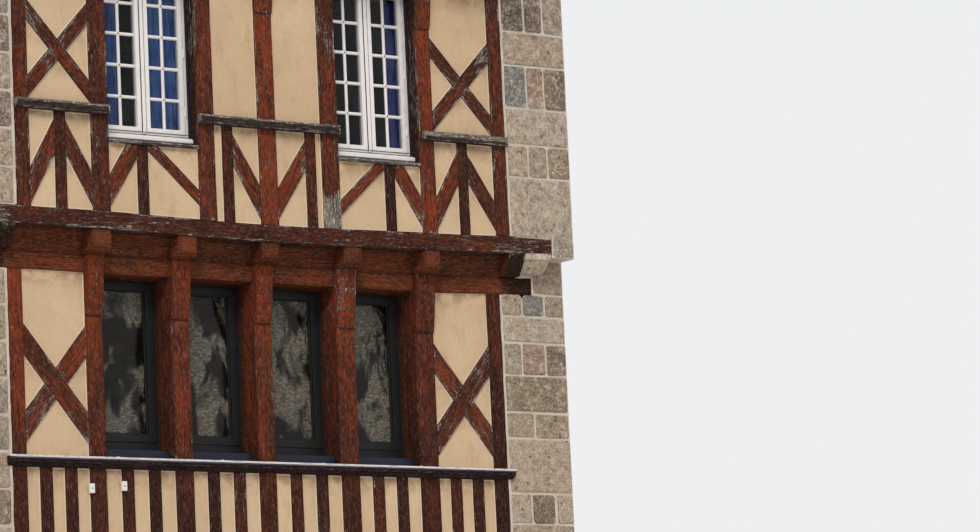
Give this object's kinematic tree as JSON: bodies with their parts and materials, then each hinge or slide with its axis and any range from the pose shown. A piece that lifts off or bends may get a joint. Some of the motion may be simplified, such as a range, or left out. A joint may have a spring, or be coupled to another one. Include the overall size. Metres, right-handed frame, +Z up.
{
  "type": "half timbered town house",
  "caption": "Three storey timber framed row house with jettied upper floors, plaster panels, granite party walls and a steep slate roof.",
  "frame": {"origin": "on the ground, under the middle of the house's box", "axes": "+X along the street front to the right, +Y from the street into the house, +Z up"},
  "size_m": [6.4, 7.64, 14.8241],
  "materials": {
    "brass_rod": "dull brass",
    "clay": "unglazed red clay",
    "cloth": "blue cotton curtain",
    "cut_granite": "dressed granite, fine picked",
    "dark_paint": "anthracite paint, satin",
    "deal_boards": "waxed pine boards",
    "door_paint": "red brown paint, satin",
    "granite": "coursed granite in pale mortar, rough",
    "lead": "weathered lead grey",
    "painted_oak": "red brown paint worn back to grey oak along the edges",
    "plaster": "cream lime plaster, matt",
    "slate": "thin split slates, satin",
    "weathered_oak": "dark weathered oak",
    "white_paint": "white paint, satin",
    "white_plastic": "white plastic, matt",
    "window_glass": "clear float glass"
  },
  "bodies": {
    "root": {"back_infill": "plaster", "back_posts": "painted_oak", "back_rafters": "weathered_oak", "back_rails": "painted_oak", "back_roof_slope": "slate", "chimney_pots": "clay", "chimney_stacks": "granite", "close_studs": "painted_oak", "corbel_stones": "cut_granite", "curtain_rods": "brass_rod", "curtains": "cloth", "door_step": "cut_granite", "falling_braces": "painted_oak", "first_inner_lining": "plaster", "first_posts": "painted_oak", "first_rail_flashing": "lead", "first_sill_rail": "weathered_oak", "first_window_frames": "dark_paint", "first_window_glass": "window_glass", "first_window_sills": "dark_paint", "floor_boards": "deal_boards", "floor_joists": "painted_oak", "front_infill": "plaster", "front_rafters": "weathered_oak", "front_roof_slope": "slate", "gable_copings": "cut_granite", "granite_plinths": "granite", "ground_floor_slab": "cut_granite", "ground_posts": "painted_oak", "ground_rails": "painted_oak", "jetty_boards": "painted_oak", "left_party_wall": "granite", "oversailing_beams": "painted_oak", "ridge_tiles": "clay", "right_party_wall": "granite", "rising_braces": "painted_oak", "second_posts": "painted_oak", "second_sill_rails": "weathered_oak", "second_struts": "painted_oak", "second_window_boards": "weathered_oak", "street_door": "door_paint", "wall_boxes": "white_plastic", "wall_plates": "painted_oak", "white_window_frames": "white_paint", "white_window_glass": "window_glass"}
  },
  "joints": []
}
